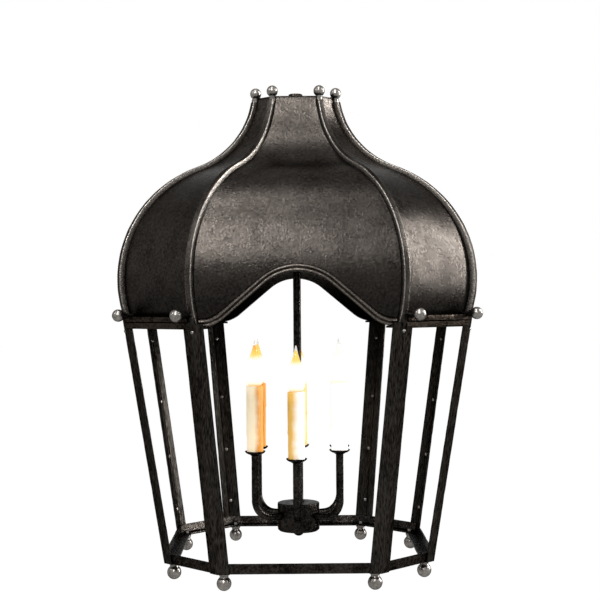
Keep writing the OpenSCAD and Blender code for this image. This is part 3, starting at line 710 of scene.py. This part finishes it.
def rivets():
    lean = atan(CORNER_FACTOR * CAGE_SLOPE)
    shape = Shape()
    for k in range(8):
        heads = [(z, pi, RIVET_SEAT * cos(lean), *SEAT_HEAD) for z in RIVET_ZS]
        heads.append((OUTER_RIVET_Z, 0, OUTER_HEAD_IN, *OUTER_HEAD))
        for z, flip, inward, radius, height in heads:
            rows = [(0.01, -HEAD_SUNK), (radius, -HEAD_SUNK), (radius, 0.15 * height)]
            rows += [(max(radius * cos(t), 0.01), 0.15 * height + 0.85 * height * sin(t))
                     for t in np.linspace(0.2, pi / 2, 7)]
            spot = Matrix.Translation((CORNER_FACTOR * cage_half(z), 0, z))
            square = Matrix.Rotation(pi / 2 + lean, 4, "Y") @ Matrix.Translation((0, 0, -inward))
            shape.put(lathe(rows, 20), corner_matrix(k) @ spot @ square @ Matrix.Rotation(flip, 4, "X"))
    stand_for(shape.build("rivet_heads", BALL, 50), "post_rivets")


rivets()


# Waist bars: a flat and a ledge across each narrow side

def waist_bar(i, corner):
    def face(z, proud=0.0):
        return NARROW_FACTOR * cage_half(z) + proud, z

    split = WAIST_TOP_Z - LEDGE_H
    section = [face(WAIST_BAR_Z, -0.8), face(WAIST_BAR_Z + 0.8), face(WAIST_BAR_Z + 3), face(WAIST_BAR_Z + 6),
               face(split - 1.2), face(split - 0.5, -0.9), face(split, LEDGE_PROUD - 0.9),
               face(split + 0.8, LEDGE_PROUD), face(split + 3, LEDGE_PROUD), face(WAIST_TOP_Z - 2.4, LEDGE_PROUD),
               face(WAIST_TOP_Z - 0.7, LEDGE_PROUD - 0.2), face(WAIST_TOP_Z, LEDGE_PROUD - 0.9)]
    outer = len(section)  # the points after these lie against the dome
    section += [(NARROW_FACTOR * bulge_half(z), z) for z in np.linspace(WAIST_TOP_Z, WAIST_BAR_Z, 6)]
    rows = []
    for u in np.linspace(-1, 1, 70):
        row = []
        for j, (x, z) in enumerate(section):
            y = u * (x * NARROW_TAN - RIB_W / 2 / cos(NARROW_HALF_AZ))
            dent = max(0, waver((x, y, z), 8, 0.6, i + 50)) if j < outer else 0
            row.append((x - dent, y, z))
        rows.append(row)
    bar(rows, corner_side_matrix(i), "waistbar_" + corner, "waist_bar_" + corner, MOULD, 40)


for i, corner in enumerate(CORNERS):
    waist_bar(i, corner)


# Bottom ring: angle iron around the eight sides, inside the posts

def ring():
    inset = ANGLE_T + RING_LEG
    section = rounded([(ANGLE_T, RING_Z), (ANGLE_T, RING_Z + RING_H), (2 * ANGLE_T, RING_Z + RING_H),
                       (2 * ANGLE_T, RING_Z + ANGLE_T), (inset, RING_Z + ANGLE_T), (inset, RING_Z)], 0.7, 3)
    rows = []
    for quarter in range(4):
        turn = Matrix.Rotation(pi / 2 * quarter, 4, "Z")
        for narrow in (False, True):
            for u in np.linspace(0, 1, 12 if narrow else 30, endpoint=False):
                row = []
                for d, z in section:
                    wide, slant = cage_half(z) - d, NARROW_FACTOR * cage_half(z) - d
                    across = sqrt(2) * slant - wide  # where the wide and the narrow side's planes meet
                    ends = ((wide, across), (across, wide)) if narrow else ((wide, -across), (wide, across))
                    p = np.array(ends[0]) * (1 - u) + np.array(ends[1]) * u
                    p *= 1 - max(0, waver((p[0], p[1], 3 * z + 50 * quarter), 14, 0.7, 70)) / np.linalg.norm(p)
                    row.append(tuple(turn @ Vector((*p, z))))
                rows.append(row)
    shape = Shape()
    shape.loops(rows, closed_rows=True)
    stand_for(shape.build("ring_iron", BAR, 40), "bottom_ring")


ring()


# Balls on their collars

def balls(name, node, per_corner):
    """One ball per corner of the lantern, all in one piece."""
    shape = Shape()
    for k in range(8):
        per_corner(shape, k)
    stand_for(shape.build(name, BALL, 60), node)


def foot(shape, k):
    r, collar = FOOT_BALL_D / 2, FOOT_COLLAR_D / 2
    rows = ball_rows(r, r, high=52)
    rows += [(collar - 1.2, RING_Z - 3.4), (collar - 0.2, RING_Z - 2.8), (collar, RING_Z - 2.2),
             (collar, RING_Z - 0.4), (collar - 0.4, RING_Z), (0.01, RING_Z)]
    shape.put(lathe(rows, dent=0.25, seed=k), corner_matrix(k) @ Matrix.Translation((FOOT_REACH, 0, 0)))


def neck(shape, k):
    r, collar = NECK_BALL_D / 2, NECK_COLLAR_D / 2
    rows = [(0.01, RIB_TOP_Z), (collar, RIB_TOP_Z), (collar, NECK_BALL_Z - 0.86 * r)]
    rows += ball_rows(r, NECK_BALL_Z, low=-56, steps=16)
    shape.put(lathe(rows, dent=0.2, seed=k + 10), corner_matrix(k) @ Matrix.Translation((NECK_BALL_REACH, 0, 0)))


def waist(shape, k):
    r, collar = WAIST_BALL_D / 2 - 0.1, WAIST_COLLAR_D / 2  # 0.1 smaller, to stay inside the CAD's box
    stud_out = NARROW_FACTOR * bulge_half(WAIST_BALL_Z)
    low = -WAIST_BALL_D / 2 - WAIST_COLLAR_IN
    stud_end = stud_out - WAIST_STUD_DEPTH - WAIST_BALL_OUT
    rows = [(0.01, stud_end), (WAIST_STUD_D / 2, stud_end), (WAIST_STUD_D / 2, low),
            (collar - 0.4, low), (collar, low + 0.4), (collar, -r * 0.82)]
    rows += ball_rows(r, 0, low=-52, steps=16)
    hand = 1 if k % 2 else -1
    y = hand * (stud_out * NARROW_TAN - WAIST_STUD_INSET)
    spot = Matrix.Translation((WAIST_BALL_OUT, y, WAIST_BALL_Z)) @ Matrix.Rotation(pi / 2, 4, "Y")
    shape.put(lathe(rows, dent=0.2, seed=k + 20), corner_side_matrix(k // 2) @ spot)


balls("feet", "ball_feet", foot)
balls("neck_finials", "neck_balls", neck)
balls("waist_finials", "waist_balls", waist)


# Cap, washer and hanger nut

def plate(outline, low, high, bevel):
    """Rings of a flat plate with eased edges, from its outline."""
    near = [(x * (1 - bevel / hypot(x, y)), y * (1 - bevel / hypot(x, y))) for x, y in outline]
    return [[(x, y, z) for x, y in ring] for ring, z in
            ((near, low), (outline, low + bevel), (outline, high - bevel), (near, high))]


def cap():
    half = profile_at(PROFILE_S[-1])[0]
    corners = []
    for quarter in range(4):
        turn = Matrix.Rotation(pi / 2 * quarter, 2)
        corners += [tuple(turn @ Vector((half, -WIDE_SHARE * half))), tuple(turn @ Vector((half, WIDE_SHARE * half)))]
    shape = Shape()
    shape.loops(plate(corners, NECK_Z, NECK_Z + CAP_T, 0.5), cap=True)
    stand_for(shape.build("cap_sheet", BAR, 30), "cap_plate")

    shape = Shape()
    low = NECK_Z + CAP_T
    turn = np.linspace(0, 2 * pi, 64, endpoint=False)
    rim = [(WASHER_D / 2 * cos(a), WASHER_D / 2 * sin(a)) for a in turn]
    shape.loops(plate(rim, low, low + WASHER_T, 0.3), cap=True)
    stand_for(shape.build("washer_ring", BAR, 30), "cap_washer")

    shape = Shape()
    low += WASHER_T
    flat, tip = HANGER_NUT_AF / 2, HANGER_NUT_AF / 2 / cos(pi / 6)
    rings = []
    for z, cone in ((low, flat + 0.5), (low + 0.6, tip), (HANGER_TOP_Z - 0.6, tip), (HANGER_TOP_Z, flat + 0.5)):
        ring = []
        for a in turn:
            side = flat / cos((a + pi / 6) % (pi / 3) - pi / 6)
            r = min(side, cone)
            ring.append((r * cos(a + pi / 6), r * sin(a + pi / 6), z))
        rings.append(ring)
    bore = [(HANGER_BORE_R + 0.5, HANGER_TOP_Z), (HANGER_BORE_R, HANGER_TOP_Z - 0.5), (HANGER_BORE_R, ROD_TOP_Z)]
    rings += [[(r * cos(a + pi / 6), r * sin(a + pi / 6), z) for a in turn] for r, z in bore]
    shape.loops(rings, cap=True)
    stand_for(shape.build("hex_nut", BAR, 30), "hanger_nut")


cap()


# Rod, hub and finial, turned about the axis

def turned(name, node, outline, radius=0.8, dent=0.3, steps=72):
    """A piece turned from a closed outline of (radius, height) points, with its corners eased."""
    shape = Shape()
    shape.loops(lathe(rounded(outline, radius, 4), steps, dent, len(name)), closed_rows=True)
    stand_for(shape.build(name, BAR), node)


ROD_R = ROD_D / 2
turned("rod", "centre_rod",
       [(ROD_BORE_R, ROD_LOW_Z)] + [(ROD_R, z) for z in np.linspace(ROD_LOW_Z, ROD_TOP_Z, 120)]
       + [(ROD_BORE_R, ROD_TOP_Z)], dent=0.25, steps=32)
HUB_R, LID_Z, HUB_TOP = HUB_D / 2, HUB_Z + HUB_H - HUB_LID_T, HUB_Z + HUB_H
turned("hub_shell", "hub_body",
       [(ROD_R, HUB_Z), (HUB_R - HUB_EASE, HUB_Z), (HUB_R, HUB_Z + HUB_EASE)]
       + [(HUB_R, z) for z in np.linspace(HUB_Z + 6, LID_Z - 2, 12)]
       + [(HUB_R, LID_Z), (HUB_R - HUB_WALL, LID_Z), (HUB_R - HUB_WALL, HUB_Z + HUB_FLOOR),
          (ROD_R, HUB_Z + HUB_FLOOR)], 0.6, 0.7)
turned("hub_top", "hub_lid", [(ROD_R, LID_Z), (HUB_R, LID_Z), (HUB_R, HUB_TOP - 1), (HUB_R - 1, HUB_TOP),
                              (ROD_R, HUB_TOP)], 0.7, 0.4)
turned("hub_tip", "hub_finial", [(0.01, FINIAL_Z), (2.6, FINIAL_Z + 0.4), (5, FINIAL_Z + 1.5), (7.2, FINIAL_Z + 3.2),
                                 (FINIAL_R, FINIAL_Z + 5.6), (FINIAL_R, HUB_Z), (ROD_R, HUB_Z), (ROD_R, ROD_LOW_Z),
                                 (0.01, ROD_LOW_Z)], 1.2, 0.2)


# Candle cluster: bent arms, drip cups, wax sleeves and flame bulbs

def arm(i):
    """The tube of candle i: level out of the hub, a quarter bend, then up to the cup. path lists (x, z, angle)."""
    inner, top = HUB_R - ARM_IN_HUB, seat_z(i) - CUP_STEM
    bend_x, bend_z = CANDLE_REACH - ARM_BEND_R, ARM_Z + ARM_BEND_R
    path = [(x, ARM_Z, 0.0) for x in np.linspace(inner, bend_x, 10, endpoint=False)]
    path += [(bend_x + ARM_BEND_R * sin(a), bend_z - ARM_BEND_R * cos(a), a)
             for a in np.linspace(0, pi / 2, 22, endpoint=False)]
    path += [(CANDLE_REACH, z, pi / 2) for z in np.linspace(bend_z, top, 24)]
    rows = []
    for x, z, a in path:
        ring = []
        for t in np.linspace(0, 2 * pi, 28, endpoint=False):
            r = ARM_D / 2 - abs(waver((x + 9 * cos(t), 9 * sin(t), z), 7, 0.35, i + 80))
            up, beside = r * cos(t), r * sin(t)
            ring.append((x - up * sin(a), beside, z + up * cos(a)))
        rows.append(ring)
    bar(rows, arm_matrix(i), "armbar_%d" % (i + 1), "arm_%d" % (i + 1), BAR)


# Section of a drip cup, as (radius, height above the seat)
CUP_OUTLINE = [(4.4, -CUP_STEM), (7.2, -CUP_STEM), (8.4, -3.6), (11.4, -2.6), (14.2, -1), (16, 1.4), (15.4, 2),
               (13.7, 0.6), (12.7, 0), (4.4, 0)]


def cups():
    shape = Shape()
    for i in range(6):
        shape.put(lathe(rounded(CUP_OUTLINE, 0.9), 56, 0.35, i),
                  arm_matrix(i) @ Matrix.Translation((CANDLE_REACH, 0, seat_z(i))), closed_rows=True)
    stand_for(shape.build("cups", BAR, 50), "drip_cups")


def at_seat(obj, i, rise, node):
    """Places a piece made around its own foot on arm i, so that its finish can follow its height."""
    obj.location = (arm_matrix(i) @ Vector((CANDLE_REACH, 0, seat_z(i) + rise))) * MM
    stand_for(obj, node)


# Wax drips down a sleeve: where they are around it in degrees and how far that turns from candle to candle, how
# long the shortest is and by how much they differ, how far they stand out, at most, and their width in radians
DRIP_SPOTS, DRIP_TURN, DRIP_SHORT, DRIP_STEP = (20, 75, 140, 205, 262, 318), 37, 22, 13
DRIP_PROUD, DRIP_LIMIT, DRIP_HALF = 0.75, 0.9, 0.13


def candle(i, material):
    """Sleeve i, a tube with drips and a soft lip at its top."""
    drips = [(radians(a + DRIP_TURN * i), DRIP_SHORT + DRIP_STEP * ((i + 2 * j) % 5))
             for j, a in enumerate(DRIP_SPOTS)]
    lip_z = SLEEVE_H - SLEEVE_LIP
    levels = np.concatenate([np.linspace(0, lip_z, 76), lip_z + SLEEVE_LIP * np.sin(np.linspace(0.3, 1.57, 5))])
    outer = []
    for z in levels:
        ring = []
        for a in np.linspace(0, 2 * pi, 96, endpoint=False):
            r = SLEEVE_D / 2 - 0.1 + waver((12 * cos(a), 12 * sin(a), z / 2), 12, 0.25, i + 5)
            for spot, length in drips:
                off = abs((a - spot - radians(60 * i - 90 + CLUSTER_TURN) + pi) % (2 * pi) - pi)
                low = SLEEVE_H - 1.5 - length
                fade = min(1, max(0, (z - low + 2.2) / 2.2)) ** 0.5
                swell = 1 + 0.5 * exp(-((z - low - 1.5) / 3) ** 2)
                r += DRIP_PROUD * swell * fade * exp(-(off / DRIP_HALF) ** 2)
            r = min(r, SLEEVE_D / 2 + DRIP_LIMIT)
            r -= 1.3 * (max(0, z - lip_z) / SLEEVE_LIP) ** 3
            ring.append((r * cos(a), r * sin(a), z))
        outer.append(ring)
    bore = SLEEVE_D / 2 - SLEEVE_WALL
    inner = lathe([(bore + 0.2, SLEEVE_H - 0.3), (bore, SLEEVE_H - 1.2), (bore, 0)], 96)
    shape = Shape()
    shape.loops(outer + inner, closed_rows=True)
    at_seat(shape.build("sleeve_%d" % (i + 1), material, 60), i, 0, "candle_sleeves")


# Outline of a flame bulb above the sleeve's rim, its base inside the sleeve, and the share of its width that glows
BULB_WALL, BULB_BASE_R, BULB_BASE_Z, CORE_SHARE = 1.1, 5.8, -31.0, 0.82
BULB_OUTLINE = [(5.8, -8), (7.6, -5), (9.2, -1), (11.4, 3.5), (13.2, 9), (14.1, 15), (14.2, 21), (13.3, 28),
                (11.4, 34.5), (8.8, 41), (6.3, 47), (4.3, 53), (2.8, 59), (1.6, 65), (0.7, 68.5), (0.01, 69)]


def smooth_outline(rows):
    """A smooth curve through the points of an outline, with three points per step."""
    points, out = np.array(rows), []
    for j in range(len(points) - 1):
        a, b = points[max(j - 1, 0)], points[j]
        c, d = points[j + 1], points[min(j + 2, len(points) - 1)]
        for t in (0.0, 0.33, 0.67):
            out.append(0.5 * (2 * b + (c - a) * t + (2 * a - 5 * b + 4 * c - d) * t ** 2
                              + (3 * b - a - 3 * c + d) * t ** 3))
    return [(max(r, 0.01), min(z, rows[-1][1])) for r, z in out + [points[-1]]]


def bulb(i, glass, core):
    """Bulb i: a closed glass wall and the core that glows in it."""
    outer = [(0.01, BULB_BASE_Z), (BULB_BASE_R, BULB_BASE_Z), (BULB_BASE_R, -9.0)] + smooth_outline(BULB_OUTLINE)
    inner = [(r - BULB_WALL, z) for r, z in smooth_outline(BULB_OUTLINE) if r > BULB_WALL + 0.4]
    shape = Shape()
    shape.loops(lathe(outer, 48))
    base = [(0.01, BULB_BASE_Z + BULB_WALL), (BULB_BASE_R - BULB_WALL, BULB_BASE_Z + BULB_WALL)]
    shape.loops(lathe(base + inner + [(0.01, inner[-1][1] + 0.6)], 48))
    at_seat(shape.build("flame_%d" % (i + 1), glass, 60), i, SLEEVE_H, "flame_bulbs")
    shape = Shape()
    near = [(r * CORE_SHARE, z - 0.6) for r, z in inner if z < 62]
    shape.loops(lathe([(0.01, -20), (3.6, -20)] + near + [(0.01, near[-1][1] + 1.2)], 40))
    at_seat(shape.build("glow_%d" % (i + 1), core, 60), i, SLEEVE_H, "flame_bulbs")


WHITE_WAX, CREAM, GOLD, AMBER = (0.95, 0.93, 0.88), (0.95, 0.80, 0.56), (0.72, 0.42, 0.08), (0.66, 0.26, 0.02)
FLAME, ORANGE_TIP, YELLOW_TIP, PALE_TIP = (1.0, 0.70, 0.16), (1.0, 0.40, 0.04), (1.0, 0.60, 0.10), (1.0, 0.95, 0.88)
# Per candle, from the front one to the right and around: pale and amber wax, the side that is amber (1 is +X, -1
# is -X), where it begins and is full, how much light comes through the wax, and the colour of the flame's tip
CANDLES = [
    (WHITE_WAX, GOLD, -1, -0.3, 0.6, 0.12, YELLOW_TIP),
    (WHITE_WAX, WHITE_WAX, -1, 0.2, 1.2, 0.45, PALE_TIP),
    (WHITE_WAX, CREAM, -1, 0.0, 1.2, 0.3, PALE_TIP),
    (CREAM, GOLD, 1, -0.3, 0.9, 0.15, YELLOW_TIP),
    (AMBER, AMBER, 1, -0.6, 0.5, 0.3, YELLOW_TIP),
    (CREAM, AMBER, 1, -0.1, 0.6, 0.2, ORANGE_TIP)]
CLEAR = clear_glass("bulb_clear")
cups()
for i, (pale, amber, way, start, end, inner, tip) in enumerate(CANDLES):
    arm(i)
    candle(i, wax("candle_wax_%d" % (i + 1), pale, amber, way, start, end, inner))
    low, middle = (tip, tip) if tip == PALE_TIP else (ORANGE_TIP, FLAME)
    bulb(i, CLEAR, lit_core("bulb_light_%d" % (i + 1), low, middle, tip, 1.1))


# Stage: a plain white floor far below, soft lights and the camera

SKY_FILL = 0.25
FLOOR_GLOW, FLOOR_SEEN = 1.08, 0.9
# Strip lights, narrow and tall so that the iron shows upright sheens: name, place in metres, width and height, power
# in watts and the point they are aimed at
DOME_FOOT = (0, 0, 0.45)
LIGHTS = [
    ("key", (-0.36, -1.95, 1.95), (0.18, 1.5), 56, DOME_FOOT),
    ("top", (-0.25, -0.75, 2.7), (0.3, 0.8), 22, DOME_FOOT),
    ("right", (2.2, 0.33, 1.12), (0.3, 1.8), 110, DOME_FOOT),
    ("rib_left", (-1.9, -0.8, 1.8), (0.12, 1.2), 12, DOME_FOOT),
    ("rib_right", (1.9, -0.8, 1.8), (0.12, 1.2), 12, DOME_FOOT),
    ("front", (-0.1, -1.9, 1.3), (0.8, 0.3), 3, (0, 0, 0.6))]
# Camera: focal length, picture width and shift in pixels, place in metres, turn and roll in degrees
FOCAL, PICTURE_W, SHIFT = 1234.7, 600, 3.0
CAMERA_AT, CAMERA_TURN, CAMERA_ROLL, SENSOR_W = (0, -1.910, 0.402), -0.26, 0.42, 36


def background_rays(tree):
    """1 for rays from the camera, through glass and off shiny surfaces, 0 for the rest."""
    paths = tree.nodes.new("ShaderNodeLightPath")
    direct = maths(tree, "MAXIMUM", paths.outputs["Is Camera Ray"], paths.outputs["Is Transmission Ray"])
    return maths(tree, "MAXIMUM", direct, paths.outputs["Is Glossy Ray"])


def white_world():
    """White as the background, and a weak even fill for the rest."""
    world = bpy.data.worlds.new("studio")
    world.use_nodes = True
    tree = world.node_tree
    tree.nodes.clear()
    out = tree.nodes.new("ShaderNodeOutputWorld")
    seen = add(tree, "ShaderNodeBackground", Color=(1, 1, 1, 1), Strength=1.0)
    lit = add(tree, "ShaderNodeBackground", Color=(1, 1, 1, 1), Strength=SKY_FILL)
    mix = tree.nodes.new("ShaderNodeMixShader")
    tree.links.new(background_rays(tree), mix.inputs[0])
    tree.links.new(lit.outputs[0], mix.inputs[1])
    tree.links.new(seen.outputs[0], mix.inputs[2])
    tree.links.new(mix.outputs[0], out.inputs["Surface"])
    bpy.context.scene.world = world


def floor(z=-0.75, half=30):
    """White as the background, and a matt surface that keeps the lantern's shadow."""
    mesh = bpy.data.meshes.new("floor")
    mesh.from_pydata([(-half, -half, z), (half, -half, z), (half, half, z), (-half, half, z)], [], [(0, 1, 2, 3)])
    mat, tree, bsdf = node_tree("floor")
    bsdf.inputs["Base Color"].default_value = (0.9, 0.9, 0.9, 1)
    bsdf.inputs["Roughness"].default_value = 0.9
    glow = add(tree, "ShaderNodeEmission", Color=(1, 1, 1, 1), Strength=FLOOR_GLOW)
    mix = tree.nodes.new("ShaderNodeMixShader")
    tree.links.new(maths(tree, "MULTIPLY", background_rays(tree), FLOOR_SEEN), mix.inputs[0])
    tree.links.new(bsdf.outputs[0], mix.inputs[1])
    tree.links.new(glow.outputs[0], mix.inputs[2])
    tree.links.new(mix.outputs[0], tree.nodes["Material Output"].inputs["Surface"])
    mesh.materials.append(mat)
    obj = bpy.data.objects.new("floor", mesh)
    bpy.context.scene.collection.objects.link(obj)


def area_light(name, place, size, power, aim):
    data = bpy.data.lights.new(name, "AREA")
    data.shape = "RECTANGLE"
    data.size, data.size_y = size
    data.energy = power
    obj = bpy.data.objects.new(name, data)
    obj.location = place
    obj.rotation_euler = (Vector(aim) - Vector(place)).to_track_quat("-Z", "Y").to_euler()
    bpy.context.scene.collection.objects.link(obj)


def camera():
    """Level camera in front, found by fitting the posts' edges: a slight turn and roll, and a slight shift."""
    data = bpy.data.cameras.new("camera")
    data.sensor_width = SENSOR_W
    data.lens = FOCAL / PICTURE_W * SENSOR_W
    data.shift_x, data.shift_y = SHIFT / PICTURE_W, SHIFT / PICTURE_W
    data.clip_end = 100
    obj = bpy.data.objects.new("camera", data)
    spot = Matrix.Rotation(radians(CAMERA_TURN), 4, "Z") @ Matrix.Translation(CAMERA_AT)
    roll = Matrix.Rotation(-radians(CAMERA_ROLL), 4, "Z")
    obj.matrix_world = spot @ Matrix.Rotation(pi / 2, 4, "X") @ roll
    bpy.context.scene.collection.objects.link(obj)
    bpy.context.scene.camera = obj


white_world()
floor()
for light in LIGHTS:
    area_light(*light)
camera()
bpy.context.scene.view_settings.view_transform = "Standard"
